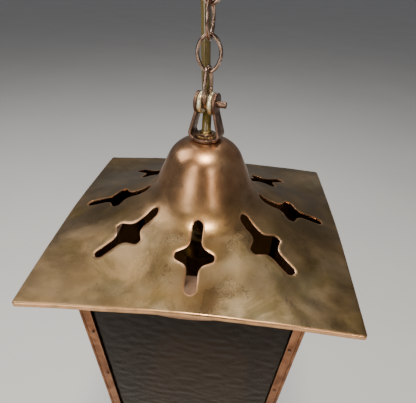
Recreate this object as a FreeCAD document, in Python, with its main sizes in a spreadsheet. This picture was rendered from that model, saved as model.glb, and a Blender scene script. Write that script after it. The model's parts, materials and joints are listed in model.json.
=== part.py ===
"""Hanging copper lantern on a chain: square domed roof, tapering glazed body, lampholder and flex.

Frame: origin in the ceiling at the cup's centre, +Z up, so the whole lantern hangs in -Z.
Heights of the lantern itself are given from the plane of the roof's four corners ("the eaves").
"""
import FreeCAD, Part
import Sketcher
import math
import os

Vector = FreeCAD.Vector
doc = FreeCAD.newDocument("hanging_lantern")
sheet = doc.addObject("Spreadsheet::Sheet", "Dims")

# ---------------------------------------------------------------- driving dimensions (mm, degrees)
DIMENSIONS = {
    "fit": 0.05,                # gap round a part that slips over another
    # heights
    "drop": 222.0,              # ceiling to eaves
    "body_top": -3.2,           # top of the glazed body, from the eaves
    "body_height": 200.0,
    # roof
    "roof_width": 203.0,
    "roof_sheet": 1.0,
    "roof_lip": 3.0,
    "dome_top": 68.0,
    "dome_shoulder": 20.8,      # radius at which the crown turns down into the flank
    "dome_foot": 39.6,          # radius at which the flank meets the skirt
    "dome_foot_height": 24.4,
    "hoop_radius": 97.4,
    "hoop_sheet": 1.2,
    # pierced vents
    "vent_count": 8,
    "vent_inner": 40.6,
    "vent_outer": 89.5,
    "vent_width": 7.2,
    "vent_cross": 64.5,
    "vent_span": 25.2,
    "vent_lobe_root": 13.2,     # width of each side lobe where it leaves the slot
    "vent_lobe_tip": 4.4,       # and near its round tip
    "vent_lobe_round": 2.8,
    "vent_fillet": 7.2,
    # glazed body
    "body_half": 77.4,
    "body_taper": 0.083,
    "flange": 8.0,
    "flange_sheet": 1.1,
    "corner_bead": 1.3,
    "groove": 1.5,
    "groove_depth": 0.8,
    "face_inset": 0.3,          # flanges and rails stand this far inside the bead
    "rail_height": 8.0,
    "frame_sheet": 1.2,
    "shelf": 10.0,
    "head_shelf": 16.0,
    "glass_gap": 0.2,
    "glass_thickness": 3.0,
    "glass_corner": 5.6,
    "rivet_radius": 1.2,
    "rivet_inset": 2.4,         # from a flange's free edge to its rivets
    "clip_width": 12.0,
    "clip_sheet": 0.8,
    "clip_height": 9.0,
    # bail, pin and discs
    "hanger_turn": -16.0,
    "strap": 1.9,
    "strap_width": 12.4,
    "strap_neck": 9.6,
    "eye_radius": 7.2,
    "bail_foot": 11.2,
    "bail_neck": 6.35,
    "bail_neck_drop": 5.2,      # from the pin down to the neck
    "bail_pad": 9.8,
    "pin_height": 93.0,
    "pin_radius": 2.1,
    "pin_stub": 13.2,
    "disc_radius": 7.5,
    "disc_round": 1.3,
    "disc_thickness": 3.4,
    "disc_inner": 1.85,
    # chain
    "wire": 2.6,
    "link_length": 25.0,
    "link_width": 18.0,
    "end_link_length": 29.3,
    "end_link_width": 15.4,
    "link_bend": 4.6,
    "link_gap": 0.35,
    # stem through the dome
    "stem_radius": 5.0,
    "stem_bore": 4.15,
    "collar_radius": 6.8,
    "collar_height": 1.0,
    "nut_flats": 11.4,
    "nut_height": 1.5,
    "ferrule_radius": 3.9,
    "ferrule_bore": 3.3,
    "ferrule_throat": 2.6,
    "ferrule_top": 73.9,
    "ferrule_seat": 70.3,       # shoulder inside the ferrule that the flex stands on
    "ferrule_floor": 64.0,
    "lock_nut_flats": 16.0,
    "lock_nut_height": 3.0,
    "tag_drop": 8.6,            # from the crown's underside down to the earth tag
    "tag_sheet": 0.8,
    "tag_radius": 8.5,
    "tag_reach": 16.2,
    "tag_width": 6.0,
    "earth_screw_x": 12.6,
    # lampholder and lamp
    "holder_top": -6.5,
    "holder_radius": 12.6,
    "holder_wall": 0.9,
    "holder_cap_height": 11.0,
    "holder_cap_rim": 6.0,      # height of the cap's straight rim
    "holder_neck": 7.2,
    "holder_body_height": 27.0,
    "shade_ring_radius": 17.5,
    "shade_ring_height": 5.0,
    "shade_ring_rise": 15.0,    # from the barrel's mouth up to the ring
    "insulator_height": 8.5,
    "plunger_x": 5.4,
    "plunger_radius": 2.35,
    "lamp_depth": 12.6,         # from the cap's foot down to the lamp's contacts
    "lamp_cap_radius": 11.0,
    "lamp_cap_wall": 0.6,
    "lamp_cap_height": 25.0,
    "lamp_radius": 27.5,
    "lamp_glass": 0.9,
    # flex
    "flex_diameter": 6.4,
    # ceiling fittings
    "cup_radius": 48.0,
    "cup_depth": 22.0,
    "cup_sheet": 1.0,
    "hook_wire": 3.0,
    "hook_shank": 3.0,
    "hook_radius": 7.5,
    "grip_x": -11.0,
    "grip_y": 14.0,
    "bar_length": 82.0,
    "bar_width": 16.0,
    "bar_sheet": 2.0,
    "screw_spacing": 60.0,
    "screw_hole": 2.3,
}
for row, (alias, value) in enumerate(DIMENSIONS.items(), start=1):
    sheet.set("A%d" % row, alias)
    sheet.set("B%d" % row, str(value))
    sheet.setAlias("B%d" % row, alias)
doc.recompute()


def size(alias):
    """A driving dimension, read from the sheet."""
    return float(sheet.get(alias))


NODES = []


# ---------------------------------------------------------------- building helpers
def bind(item, formulas):
    for name, formula in formulas.items():
        item.setExpression(name, formula)
    return item


def place(item, x="0", y="0", z="0"):
    return bind(item, {"Placement.Base.x": x, "Placement.Base.y": y, "Placement.Base.z": z})


def keep(item, label):
    """Give a finished sub-part its own label and list it for export."""
    item.Label = label
    NODES.append(item)
    return item


def cylinder(name, radius, height, x="0", y="0", z="0"):
    item = doc.addObject("Part::Cylinder", name)
    bind(item, {"Radius": radius, "Height": height})
    return place(item, x, y, z)


def box(name, length, width, height, x="0", y="0", z="0"):
    """A box centred on x and y, standing on z."""
    item = doc.addObject("Part::Box", name)
    bind(item, {"Length": length, "Width": width, "Height": height})
    return place(item, "%s - (%s) / 2" % (x, length), "%s - (%s) / 2" % (y, width), z)


def cut(name, base, tool):
    item = doc.addObject("Part::Cut", name)
    item.Base = base
    item.Tool = tool
    return item


def fuse(name, *shapes):
    item = doc.addObject("Part::MultiFuse", name)
    item.Shapes = list(shapes)
    return item


def group(name, *shapes):
    """Separate solids kept together in one node."""
    item = doc.addObject("Part::Compound", name)
    item.Links = list(shapes)
    return item


def feature(name, shape, z=0.0, turn=0.0):
    """A sub-part whose shape is made in code, moved to its height and turned about Z."""
    item = doc.addObject("Part::Feature", name)
    item.Shape = shape
    item.Placement = FreeCAD.Placement(Vector(0, 0, z), FreeCAD.Rotation(Vector(0, 0, 1), turn))
    return item


def plane(body, role):
    return next(f for f in body.Origin.OriginFeatures if f.Role == role)


def turned(label, outline, height, x="0", y="0"):
    """A turned piece: a closed outline of (radius, height) formulas revolved about its own axis."""
    body = doc.addObject("PartDesign::Body", label + "_body")
    sketch = body.newObject("Sketcher::SketchObject", label + "_outline")
    sketch.AttachmentSupport = (plane(body, "XZ_Plane"), [""])
    sketch.MapMode = "FlatFace"
    doc.recompute()
    start = [Vector(evaluate(r), evaluate(z), 0) for r, z in outline]
    count = len(start)
    for i in range(count):
        sketch.addGeometry(Part.LineSegment(start[i], start[(i + 1) % count]), False)
    for i in range(count):
        sketch.addConstraint(Sketcher.Constraint("Coincident", i, 2, (i + 1) % count, 1))
    for i, (r, z) in enumerate(outline):
        pin_coordinate(sketch, i, "DistanceX", -2, r, start[i].x)
        pin_coordinate(sketch, i, "DistanceY", -1, z, start[i].y)
    revolution = body.newObject("PartDesign::Revolution", label + "_turning")
    revolution.Profile = sketch
    revolution.ReferenceAxis = (sketch, ["V_Axis"])
    revolution.Angle = 360.0
    body.Tip = revolution
    return keep(place(body, x, y, height), label)


def pin_coordinate(sketch, line, kind, axis, formula, value):
    """Hold one coordinate of a line's start point, on an axis or at a bound distance from it."""
    if abs(value) < 1e-9:
        sketch.addConstraint(Sketcher.Constraint("PointOnObject", line, 1, axis))
        return
    index = sketch.addConstraint(Sketcher.Constraint(kind, -1, 1, line, 1, value))
    sketch.setExpression("Constraints[%d]" % index, formula)


def evaluate(formula):
    """The number that a formula of the sheet's dimensions stands for."""
    scratch.setExpression("Radius", "1 + (%s)" % formula)
    scratch.recompute()
    return scratch.Radius.Value - 1.0


scratch = doc.addObject("Part::Sphere", "Scratch")


def corner_arcs(points, radii, closed=False):
    """A wire of straight runs joined by tangent arcs, one radius for each point that turns."""
    count = len(points)
    edges = []
    previous_end = None
    first_start = None
    for i in range(count):
        radius = radii[i]
        is_end = not closed and i in (0, count - 1)
        if is_end or radius <= 0:
            tangent_in = tangent_out = points[i]
        else:
            before = (points[i - 1] - points[i]).normalize()
            after = (points[(i + 1) % count] - points[i]).normalize()
            half = before.getAngle(after) / 2
            reach = radius / math.tan(half)
            tangent_in = points[i] + before * reach
            tangent_out = points[i] + after * reach
            bisector = (before + after).normalize()
            middle = points[i] + bisector * (radius / math.sin(half) - radius)
        if previous_end is not None and previous_end.distanceToPoint(tangent_in) > 1e-6:
            edges.append(Part.LineSegment(previous_end, tangent_in).toShape())
        if first_start is None:
            first_start = tangent_in
        if not is_end and radius > 0:
            edges.append(Part.Arc(tangent_in, middle, tangent_out).toShape())
        previous_end = tangent_out
    if closed and previous_end.distanceToPoint(first_start) > 1e-6:
        edges.append(Part.LineSegment(previous_end, first_start).toShape())
    return Part.Wire(edges)


def offset_points(points, distance, normal):
    """The corners of a route moved sideways by a distance, to the left of its direction."""
    lines = []
    for a, b in zip(points, points[1:]):
        along = (b - a).normalize()
        side = normal.cross(along)
        lines.append((a + side * distance, along))
    moved = [lines[0][0]]
    for (p, u), (q, v) in zip(lines, lines[1:]):
        cross = u.cross(v).dot(normal)
        t = (q - p).cross(v).dot(normal) / cross
        moved.append(p + u * t)
    moved.append(lines[-1][0] + lines[-1][1] * (points[-1] - points[-2]).Length)
    return moved


def strip_face(points, radii, thickness, normal):
    """The edge view of a bent strip: its centre line given half its thickness to each side."""
    turns = []
    for i in range(1, len(points) - 1):
        turns.append((points[i] - points[i - 1]).cross(points[i + 1] - points[i]).dot(normal))
    sides = []
    for sign in (1, -1):
        rounded = [0.0]
        for i, turn in enumerate(turns, start=1):
            inside = 1 if turn * sign > 0 else -1
            rounded.append(radii[i] - inside * thickness / 2)
        rounded.append(0.0)
        sides.append(corner_arcs(offset_points(points, sign * thickness / 2, normal), rounded))
    ends = []
    for pick in (0, -1):
        a = sides[0].OrderedVertexes[pick].Point
        b = sides[1].OrderedVertexes[pick].Point
        ends.append(Part.LineSegment(a, b).toShape())
    edges = list(sides[0].Edges) + list(sides[1].Edges) + ends
    return Part.Face(Part.Wire(Part.__sortEdges__(edges)))


def square_block(half, z0, z1):
    return Part.makeBox(2 * half, 2 * half, z1 - z0, Vector(-half, -half, z0))


# ---------------------------------------------------------------- roof
def roof_outline():
    """Corner points and radii of the roof's outer surface, from the crown to beyond a corner."""
    top = size("dome_top")
    points = [
        Vector(0, 0, top),
        Vector(size("dome_shoulder"), 0, top - 0.8),
        Vector(size("dome_foot"), 0, size("dome_foot_height")),
        Vector(68.0, 0, 14.3),
        Vector(99.0, 0, 4.4),
        Vector(146.0, 0, -0.25),
    ]
    radii = [0, 21.0, 30.0, 160.0, 90.0, 0]
    return points, radii


def turned_solid(points, radii, floor):
    """Everything between a surface of revolution and a level floor beneath it."""
    skin = corner_arcs(points, radii)
    end = points[-1]
    under = Part.makePolygon([end, Vector(end.x, 0, floor), Vector(0, 0, floor), points[0]])
    face = Part.Face(Part.Wire(Part.__sortEdges__(list(skin.Edges) + list(under.Edges))))
    return face.revolve(Vector(0, 0, 0), Vector(0, 0, 1), 360)


def roof_blanks():
    """The roof's solid block, and the space under its sheet."""
    points, radii = roof_outline()
    sheet_thickness = size("roof_sheet")
    floor = -30.0
    outer = turned_solid(points, radii, floor)
    under = offset_points(points, -sheet_thickness, Vector(0, -1, 0))
    under[0].x = 0
    inner_radii = [0, radii[1] - sheet_thickness, radii[2] + sheet_thickness, radii[3], radii[4], 0]
    inner = turned_solid(under, inner_radii, floor - 1)
    return outer, inner


def vent_tool():
    """One pierced vent: a long radial slot with a tapering, round-tipped lobe to each side."""
    slot = size("vent_width") / 2
    span = size("vent_span") / 2
    root, tip = size("vent_lobe_root") / 2, size("vent_lobe_tip") / 2
    inner, outer, cross = size("vent_inner"), size("vent_outer"), size("vent_cross")
    floor, depth = 2.0, 40.0
    right = [(inner, slot), (cross - root, slot), (cross - tip, span),
             (cross + tip, span), (cross + root, slot), (outer, slot)]
    left = [(x, -y) for x, y in reversed(right)]
    points = [Vector(x, y, floor) for x, y in right + left]
    fillet, lobe = size("vent_fillet"), size("vent_lobe_round")
    right_radii = [slot, fillet, lobe, lobe, fillet, slot]
    radii = right_radii + right_radii
    return Part.Face(corner_arcs(points, radii, closed=True)).extrude(Vector(0, 0, depth))


def make_roof():
    half = size("roof_width") / 2
    outer, inner = roof_blanks()
    sheet_thickness = size("roof_sheet")
    blank = outer.common(square_block(half, -20, 100))
    skin = blank.cut(inner)
    lowered = outer.copy()
    lowered.translate(Vector(0, 0, -size("roof_lip")))
    rim = blank.cut(square_block(half - sheet_thickness, -30, 100)).cut(lowered)
    roof = skin.fuse(rim)
    count = int(size("vent_count"))
    for i in range(count):
        tool = vent_tool()
        tool.rotate(Vector(0, 0, 0), Vector(0, 0, 1), -90 + i * 360.0 / count)
        roof = roof.cut(tool)
    stem_hole = Part.makeCylinder(size("stem_radius") + size("fit"), 40, Vector(0, 0, 50))
    roof = roof.cut(stem_hole).removeSplitter()
    keep(feature("Roof", roof, -size("drop")), "roof")

    ring = Part.makeCylinder(size("hoop_radius"), 30, Vector(0, 0, size("body_top")))
    hollow = Part.makeCylinder(size("hoop_radius") - size("hoop_sheet"), 30, Vector(0, 0, size("body_top")))
    hoop = ring.cut(hollow).common(inner)
    keep(feature("RoofHoop", hoop, -size("drop")), "roof_hoop")


# ---------------------------------------------------------------- glazed body
def half_width(z):
    """Half the width of the glazed body at a height from the eaves."""
    return size("body_half") + size("body_taper") * (z - size("body_top"))


def slanted(points, z_top, z_bottom, closed_wire=None):
    """A section at z_top carried down parallel to a corner of the body."""
    drop = z_top - z_bottom
    shift = -size("body_taper") * drop
    wire = closed_wire or Part.makePolygon([Vector(x, y, z_top) for x, y in points + points[:1]])
    return Part.Face(wire).extrude(Vector(shift, shift, -drop))


def body_levels():
    top = size("body_top") - size("frame_sheet")
    bottom = size("body_top") - size("body_height") + size("frame_sheet")
    return top, bottom


def make_posts():
    """Four corner posts: a bead on the corner, a groove each side of it, then a flange."""
    z_top, z_bottom = body_levels()
    edge = half_width(z_top)
    bead = size("corner_bead")
    depth = size("groove_depth")
    outer = edge - size("face_inset")
    groove = edge - bead - size("groove")
    inner = outer - size("flange_sheet")
    end = edge - size("flange")
    step = outer - depth
    web = inner - depth
    profile = [
        (end, outer), (groove, outer), (groove, step), (step, step), (step, groove), (outer, groove),
        (outer, end), (inner, end), (inner, groove - depth), (web, groove - depth), (web, web),
        (groove - depth, web), (groove - depth, inner), (end, inner),
    ]
    flanges = slanted(profile, z_top, z_bottom)
    centre = Vector(edge - bead, edge - bead, z_top)
    circle = Part.Wire([Part.Circle(centre, Vector(0, 0, 1), bead).toShape()])
    post = flanges.fuse(slanted([], z_top, z_bottom, circle)).removeSplitter()
    for name, turn in (("back_right", 0), ("back_left", 90), ("front_left", 180), ("front_right", 270)):
        keep(feature("Post_" + name, post, -size("drop"), turn), "corner_post_" + name)


def ring_plate(outer_half, inner_half, z, thickness):
    return square_block(outer_half, z, z + thickness).cut(square_block(inner_half, z - 1, z + thickness + 1))


def rail(z_top, z_bottom):
    """One flat rail across a face of the body, between the flanges of two posts."""
    overlap = 0.1
    rings = []
    for z in (z_top, z_bottom):
        face = half_width(z) - size("face_inset")
        reach = half_width(z) - size("flange") - overlap
        corners = [(-reach, -face), (reach, -face), (reach, -face + size("flange_sheet")),
                   (-reach, -face + size("flange_sheet"))]
        rings.append(Part.makePolygon([Vector(x, y, z) for x, y in corners + corners[:1]]))
    return Part.makeLoft(rings, True, True)


def four_times(shape):
    shapes = []
    for i in range(4):
        turned_shape = shape.copy()
        turned_shape.rotate(Vector(0, 0, 0), Vector(0, 0, 1), 90 * i)
        shapes.append(turned_shape)
    return shapes


def make_frames():
    """The level frames at the head and foot of the glass, each with its four face rails.

    The head's plate is rounded out past the faces to carry the roof's hoop.
    """
    rail_height = size("rail_height")
    thickness = size("frame_sheet")
    z_top, z_bottom = body_levels()
    round_rim = Part.makeCylinder(size("hoop_radius"), thickness, Vector(0, 0, z_top))
    opening = square_block(half_width(z_top) - size("head_shelf"), z_top - 1, z_top + 2 * thickness)
    head = square_block(half_width(z_top), z_top, z_top + thickness).fuse(round_rim).cut(opening)
    for piece in four_times(rail(z_top, z_top - rail_height)):
        head = head.fuse(piece)
    keep(feature("TopFrame", head.removeSplitter(), -size("drop")), "top_frame")
    foot_half = half_width(z_bottom)
    foot = ring_plate(foot_half, foot_half - size("shelf"), z_bottom - thickness, thickness)
    for piece in four_times(rail(z_bottom + rail_height, z_bottom)):
        foot = foot.fuse(piece)
    keep(feature("BottomFrame", foot.removeSplitter(), -size("drop")), "bottom_frame")


def glass_wedge(name):
    """A tapering pane standing behind a face of the body."""
    pane = doc.addObject("Part::Wedge", name)
    low = "(Dims.body_top - Dims.body_height + Dims.frame_sheet + 0.3)"
    high = "(Dims.body_top - Dims.frame_sheet - 0.3)"
    half = "(Dims.body_half + Dims.body_taper * (%s - Dims.body_top))"
    behind = "(Dims.face_inset + Dims.flange_sheet + Dims.groove_depth + Dims.glass_gap)"
    low_half, high_half = half % low, half % high
    return bind(pane, {
        "Ymin": low, "Ymax": high,
        "Xmin": "-(%s - Dims.glass_corner)" % low_half, "Xmax": "%s - Dims.glass_corner" % low_half,
        "X2min": "-(%s - Dims.glass_corner)" % high_half, "X2max": "%s - Dims.glass_corner" % high_half,
        "Zmin": "%s - %s - Dims.glass_thickness" % (low_half, behind), "Zmax": "%s - %s" % (low_half, behind),
        "Z2min": "%s - %s - Dims.glass_thickness" % (high_half, behind),
        "Z2max": "%s - %s" % (high_half, behind),
    })


def make_glass():
    sides = (("front", 0), ("right", 90), ("back", 180), ("left", 270))
    upright = FreeCAD.Rotation(Vector(1, 0, 0), 90)
    for name, turn in sides:
        pane = glass_wedge("Glass_" + name)
        spin = FreeCAD.Rotation(Vector(0, 0, 1), turn)
        pane.Placement = FreeCAD.Placement(Vector(0, 0, -size("drop")), spin.multiply(upright))
        keep(pane, "glass_" + name)


def make_rivets_and_clips():
    """Solder-dot rivets down the posts' flanges, and the tabs that keep the panes in."""
    rivet_depths = (48.0, 98.0, 148.0)
    radius = size("rivet_radius")
    dots = []
    for depth in rivet_depths:
        z = size("body_top") - depth
        face = half_width(z + radius) - size("face_inset")
        across = half_width(z) - size("flange") + size("rivet_inset")
        for side in (-1, 1):
            dot = Part.makeSphere(radius, Vector(side * across, -face, z))
            dots += four_times(dot.cut(Part.makeBox(9, 9, 9, Vector(side * across - 4.5, -face, z - 4.5))))
    keep(feature("Rivets", Part.makeCompound(dots), -size("drop")), "post_rivets")

    z_top, z_bottom = body_levels()
    behind = size("face_inset") + size("flange_sheet") + size("groove_depth") + size("glass_thickness")
    behind += 2 * size("glass_gap")
    tall, thick, wide = size("clip_height"), size("clip_sheet"), size("clip_width")
    lean = size("body_taper") * tall + 0.2
    clips = []
    for z, y in ((z_top - tall, half_width(z_top) - behind - lean), (z_bottom, half_width(z_bottom) - behind)):
        clips += four_times(Part.makeBox(wide, thick, tall, Vector(-wide / 2, -y, z)))
    keep(feature("GlassClips", Part.makeCompound(clips), -size("drop")), "glass_clips")


# ---------------------------------------------------------------- bail, pin and discs
def make_bail():
    """A copper strap bent to a pear: pad on the crown, necked legs, round eyes for the pin."""
    crown = size("dome_top")
    strap = size("strap")
    base = crown + strap / 2
    foot, neck, pin = size("bail_foot"), size("bail_neck"), size("pin_height")
    neck_height = pin - size("bail_neck_drop")
    top = pin + size("eye_radius") + 1
    points = [Vector(-neck, 0, top), Vector(-neck, 0, neck_height), Vector(-foot, 0, base),
              Vector(foot, 0, base), Vector(neck, 0, neck_height), Vector(neck, 0, top)]
    radii = [0, 9.0, 3.6, 3.6, 9.0, 0]
    wide = 2 * size("eye_radius")
    face = strip_face(points, radii, strap, Vector(0, 1, 0))
    face.translate(Vector(0, -wide / 2, 0))
    strip = face.extrude(Vector(0, wide, 0))
    half_foot, half_neck = size("strap_width") / 2, size("strap_neck") / 2
    legs = Part.makePolygon([Vector(-20, y, z) for y, z in (
        (-half_foot, crown - 1), (half_foot, crown - 1), (half_neck, neck_height), (half_neck, pin),
        (-half_neck, pin), (-half_neck, neck_height), (-half_foot, crown - 1))])
    outline = Part.Face(legs).extrude(Vector(40, 0, 0))
    eyes = Part.makeCylinder(size("eye_radius"), 40, Vector(-20, 0, pin), Vector(1, 0, 0))
    bail = strip.common(outline.fuse(eyes))
    pad = Part.makeCylinder(size("bail_pad"), strap, Vector(0, 0, crown))
    bail = bail.fuse(pad)
    bail = bail.cut(Part.makeCylinder(size("stem_radius") + size("fit"), 10, Vector(0, 0, crown - 3)))
    pin_hole = size("pin_radius") + size("fit") / 2
    bail = bail.cut(Part.makeCylinder(pin_hole, 40, Vector(-20, 0, pin), Vector(1, 0, 0)))
    keep(feature("Bail", bail.removeSplitter(), -size("drop"), size("hanger_turn")), "bail")


def crosswise(name, radius, start, length):
    """A round bar along the bail's pin."""
    bar = doc.addObject("Part::Cylinder", name)
    bind(bar, {"Radius": radius, "Height": length})
    turn = FreeCAD.Rotation(Vector(0, 0, 1), size("hanger_turn"))
    along = turn.multVec(Vector(1, 0, 0))
    base = Vector(0, 0, size("pin_height") - size("drop")) + along * start
    bar.Placement = FreeCAD.Placement(base, turn.multiply(FreeCAD.Rotation(Vector(0, 1, 0), 90)))
    return bar


def make_pin_and_discs():
    back_end = -(size("bail_neck") + size("strap") / 2 + 0.6)
    keep(crosswise("Pin", "Dims.pin_radius", back_end, "Dims.pin_stub - (%s)" % back_end), "bail_pin")
    inner, thick = size("disc_inner"), size("disc_thickness")
    discs = []
    for name, start in (("DiscRight", inner), ("DiscLeft", -inner - thick)):
        blank = crosswise(name + "Blank", "Dims.disc_radius", start, "Dims.disc_thickness")
        bore = crosswise(name + "Bore", "Dims.pin_radius + Dims.fit / 2", start - 1, "Dims.disc_thickness + 2")
        rounded = doc.addObject("Part::Fillet", name + "Rounded")
        rounded.Base = blank
        doc.recompute()
        rims = [i for i, e in enumerate(blank.Shape.Edges, start=1) if isinstance(e.Curve, Part.Circle)]
        rounded.Edges = [(i, size("disc_round"), size("disc_round")) for i in rims]
        discs.append(cut(name, rounded, bore))
    keep(group("Discs", *discs), "bail_spacers")


# ---------------------------------------------------------------- chain
def oval(length, width, bend):
    """The centre line of a link in the XZ plane: two small end arcs and two long side arcs."""
    a, b = length / 2, width / 2
    side = (a * a + b * b - 2 * a * bend) / (2 * (b - bend))
    angle = math.atan2(a - bend, side - b)
    join = Vector(bend * math.cos(angle), 0, a - bend + bend * math.sin(angle))
    edges = []
    for sx, sz in ((1, 1), (-1, -1)):
        p = Vector(join.x * sx, 0, join.z * sz)
        q = Vector(-join.x * sx, 0, join.z * sz)
        r = Vector(join.x * sx, 0, -join.z * sz)
        edges.append(Part.Arc(p, Vector(0, 0, a * sz), q).toShape())
        edges.append(Part.Arc(r, Vector(b * sx, 0, 0), p).toShape())
    return Part.Wire(Part.__sortEdges__(edges))


def link_solid(length, width):
    """An oval of round wire of the chain's thickness, by its outside length and width."""
    wire = size("wire")
    path = oval(length - wire, width - wire, size("link_bend"))
    first = path.OrderedVertexes[0].Point
    tangent = path.OrderedEdges[0].tangentAt(path.OrderedEdges[0].FirstParameter)
    section = Part.Wire([Part.Circle(first, tangent, wire / 2).toShape()])
    return path.makePipeShell([section], True, False)


def chain_levels():
    """Centre heights of the wire at the foot and head of each link, from the eaves, bottom link first."""
    wire, gap = size("wire"), size("link_gap")
    foot = size("pin_height") - size("pin_radius") - 0.3 - wire / 2
    levels = []
    for length in (size("end_link_length"),) + (size("link_length"),) * 3:
        head = foot + length - wire
        levels.append((foot, head))
        foot = head - wire - gap
    return levels


CHAIN = (("chain_link_a", 90.0, 0.0), ("chain_link_b", 0.0, 4.0),
         ("chain_link_c", 90.0, 6.0), ("chain_link_d", 0.0, 8.0))


def make_chain():
    for (label, plane_turn, twist), (foot, head) in zip(CHAIN, chain_levels()):
        is_end = label == "chain_link_a"
        length = size("end_link_length") if is_end else size("link_length")
        width = size("end_link_width") if is_end else size("link_width")
        centre = (foot + head) / 2 - size("drop")
        turn = size("hanger_turn") + twist + plane_turn
        keep(feature(label.title(), link_solid(length, width), centre, turn), label)


# ---------------------------------------------------------------- stem, lampholder and lamp
def make_stem():
    """Stem tube through the dome, its washer, nuts, flex ferrule and earth tag."""
    foot = "(Dims.holder_top - 8)"
    seat = "(Dims.dome_top + Dims.strap)"
    outside = "Dims.stem_radius + Dims.fit"
    stem_top = "(%s + Dims.collar_height + Dims.nut_height - 0.3)" % seat
    turned("stem_tube", [
        ("Dims.stem_bore", "0"), ("Dims.stem_radius", "0"),
        ("Dims.stem_radius", "%s - %s" % (stem_top, foot)),
        ("Dims.stem_bore", "%s - %s" % (stem_top, foot))], "%s - Dims.drop" % foot)
    turned("stem_collar", [
        (outside, "0"), ("Dims.collar_radius", "0"),
        ("Dims.collar_radius", "Dims.collar_height / 2"),
        ("Dims.collar_radius - 0.5", "Dims.collar_height"),
        (outside, "Dims.collar_height")], "%s - Dims.drop" % seat)
    nut = hexagon("Nut", "Dims.nut_flats", "Dims.nut_height", "%s + Dims.collar_height - Dims.drop" % seat)
    nut_bore = cylinder("NutBore", outside, "6", z="%s - Dims.drop" % seat)
    keep(cut("StemNut", nut, nut_bore), "stem_nut")

    seat_rise = "Dims.ferrule_seat - Dims.ferrule_floor"
    height = "Dims.ferrule_top - Dims.ferrule_floor"
    shoulder = "%s - Dims.ferrule_floor" % stem_top
    inside_stem = "Dims.stem_bore - Dims.fit"
    turned("flex_ferrule", [
        ("Dims.ferrule_throat", "0"), (inside_stem, "0"), (inside_stem, shoulder),
        ("Dims.ferrule_radius", shoulder), ("Dims.ferrule_radius", "%s - 0.5" % height),
        ("Dims.ferrule_radius - 0.3", height), ("Dims.ferrule_bore", height),
        ("Dims.ferrule_bore", seat_rise), ("Dims.ferrule_throat", seat_rise)], "Dims.ferrule_floor - Dims.drop")

    crown_under = "(Dims.dome_top - Dims.roof_sheet - 0.45)"
    tag_floor = "(%s - Dims.tag_drop - Dims.drop)" % crown_under
    hole = cylinder("StemHole", outside, "40", z="%s - 20" % tag_floor)
    lock_nuts = []
    for name, floor in (("Crown", "%s - Dims.lock_nut_height - Dims.drop" % crown_under),
                        ("Upper", "%s + Dims.tag_sheet" % tag_floor),
                        ("Lower", "%s - Dims.lock_nut_height" % tag_floor)):
        blank = hexagon(name + "LockNut", "Dims.lock_nut_flats", "Dims.lock_nut_height", floor)
        lock_nuts.append(cut(name + "LockNutBored", blank, hole))
    keep(group("LockNuts", *lock_nuts), "stem_lock_nuts")
    ring = cylinder("TagRing", "Dims.tag_radius", "Dims.tag_sheet", z=tag_floor)
    tongue = box("TagTongue", "Dims.tag_reach - 6", "Dims.tag_width", "Dims.tag_sheet",
                 x="(Dims.tag_reach + 6) / 2", z=tag_floor)
    stud_hole = cylinder("EarthStudHole", "1.65", "9", x="Dims.earth_screw_x", z="%s - 4" % tag_floor)
    keep(cut("EarthTag", fuse("TagBlank", ring, tongue), fuse("TagHoles", hole, stud_hole)), "earth_tag")
    stud = cylinder("EarthStud", "1.6", "6.4", x="Dims.earth_screw_x", z="%s - 2.4" % tag_floor)
    head = cylinder("EarthHead", "2.9", "1.6", x="Dims.earth_screw_x", z="%s + Dims.tag_sheet" % tag_floor)
    keep(fuse("EarthScrew", stud, head), "earth_screw")


def hexagon(name, flats, height, z):
    """A plain hexagonal block, by the distance across its flats."""
    item = doc.addObject("Part::Prism", name)
    item.Polygon = 6
    bind(item, {"Circumradius": "(%s) / 1.7320508" % flats, "Height": height})
    return place(item, z=z)


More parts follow.
